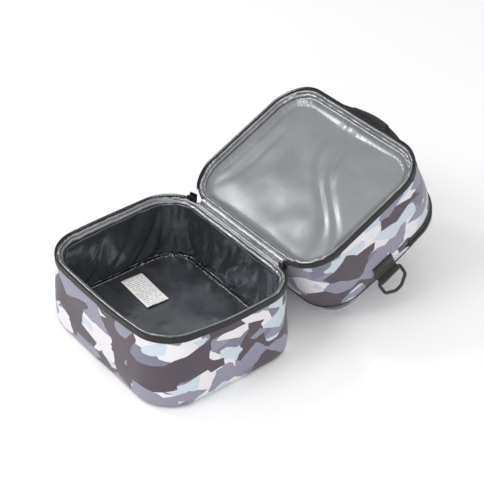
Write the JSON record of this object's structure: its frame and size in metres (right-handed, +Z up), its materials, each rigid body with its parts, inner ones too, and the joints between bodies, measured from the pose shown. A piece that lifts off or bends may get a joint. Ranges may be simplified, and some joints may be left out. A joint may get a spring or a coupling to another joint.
{
  "type": "insulated cooler bag",
  "caption": "Soft insulated cooler bag standing open: camouflage-print walls, silver lining, zipped lid compartment with a top flap, carry handle and six-sided strap rings.",
  "frame": {"origin": "centre of the lower tub's flat underside", "axes": "+Z up with the tub standing; +Y along the main fabric hinge; +X from the tub towards the opened lid compartment"},
  "size_m": [0.44, 0.2732, 0.1827],
  "materials": {
    "camo_print": "printed woven polyester, matt, angular camouflage in dark mauve, grey lilac, pale blue and off-white",
    "black_webbing": "black woven tape and webbing, matt",
    "silver_lining": "silver-grey coated film, soft sheen, wrinkled",
    "grey_lining": "dark silver-grey coated film, soft sheen, wrinkled",
    "foam": "white closed-cell foam sheet",
    "board": "thin stiff plastic board",
    "label": "white woven label with plain grey marks that carry no lettering",
    "black_plastic": "black moulded plastic, satin",
    "black_metal": "black painted zinc, satin"
  },
  "bodies": {
    "tub": {"base_shell": "camo_print", "base_foam": "foam", "base_floor_board": "board", "base_liner": "grey_lining", "base_floor_welt": "grey_lining", "base_rim_binding": "silver_lining", "base_zip_tape": "black_webbing", "base_zip_teeth": "black_plastic", "base_hinge_strip": "black_webbing", "care_label": "label"},
    "lid": {"lid_shell": "camo_print", "lid_foam": "foam", "lid_rim_binding": "silver_lining", "lid_zip_tape": "black_webbing", "lid_zip_teeth": "black_plastic", "lid_hinge_strip": "black_webbing", "divider_panel": "silver_lining", "divider_foam": "foam", "upper_liner": "grey_lining", "face_foam": "foam", "face_liner": "grey_lining", "face_piping": "black_webbing", "top_zip_tape": "black_webbing", "top_zip_teeth": "black_plastic", "handle_end_left": "black_webbing", "handle_end_right": "black_webbing", "ring_tab_left": "black_webbing", "ring_tab_right": "black_webbing"},
    "top_flap": {"flap_shell": "camo_print", "flap_foam": "foam", "flap_liner": "grey_lining", "flap_piping": "black_webbing", "flap_zip_tape": "black_webbing", "flap_zip_teeth": "black_plastic"},
    "handle": {"handle_loop": "black_webbing", "handle_grip": "black_webbing"},
    "ring_left": {"hex_ring_left": "black_plastic"},
    "ring_right": {"hex_ring_right": "black_plastic"},
    "slider_left": {"left_slider": "black_metal"},
    "pull_left": {"left_pull": "black_metal"},
    "slider_right": {"right_slider": "black_metal"},
    "pull_right": {"right_pull": "black_metal"},
    "slider_top": {"top_slider": "black_metal"},
    "pull_top": {"top_pull": "black_metal"}
  },
  "joints": [
    {"name": "lid_hinge", "type": "hinge", "parent": "tub", "child": "lid", "pos_m": [0.103, 0, 0.0975], "axis": [0, 1, 0], "range_deg": [-155, 5]},
    {"name": "flap_hinge", "type": "hinge", "parent": "lid", "child": "top_flap", "pos_m": [0.26541, 0, 0.05208], "axis": [0, 1, 0], "range_deg": [0, 150]},
    {"name": "handle_swing", "type": "hinge", "parent": "lid", "child": "handle", "pos_m": [0.307, 0, 0.15787], "axis": [0, 1, 0], "range_deg": [-30, 30]},
    {"name": "ring_left_swing", "type": "hinge", "parent": "lid", "child": "ring_left", "pos_m": [0.22885, 0.1256, 0.0453], "axis": [0.9063, 0, 0.4226], "range_deg": [-60, 120]},
    {"name": "ring_right_swing", "type": "hinge", "parent": "lid", "child": "ring_right", "pos_m": [0.22885, -0.1256, 0.0453], "axis": [-0.9063, 0, -0.4226], "range_deg": [-60, 120]},
    {"name": "slider_left_travel", "type": "hinge", "parent": "tub", "child": "slider_left", "pos_m": [0.053, 0.074, 0.0975], "axis": [0, 0, 1], "range_deg": [0, 75]},
    {"name": "slider_right_travel", "type": "hinge", "parent": "tub", "child": "slider_right", "pos_m": [0.053, -0.074, 0.0975], "axis": [0, 0, -1], "range_deg": [0, 75]},
    {"name": "pull_left_swing", "type": "hinge", "parent": "slider_left", "child": "pull_left", "pos_m": [0.10202, 0.08714, 0.0975], "axis": [0.9659, 0.2588, 0], "range_deg": [-15, 100]},
    {"name": "pull_right_swing", "type": "hinge", "parent": "slider_right", "child": "pull_right", "pos_m": [0.10202, -0.08714, 0.0975], "axis": [-0.9659, 0.2588, 0], "range_deg": [-15, 100]},
    {"name": "slider_top_travel", "type": "slide", "parent": "lid", "child": "slider_top", "axis": [0, -1, 0], "range_m": [0, 0.132]},
    {"name": "pull_top_swing", "type": "hinge", "parent": "slider_top", "child": "pull_top", "pos_m": [0.32842, 0.066, 0.10331], "axis": [0.9063, 0, 0.4226], "range_deg": [-100, 100]}
  ]
}
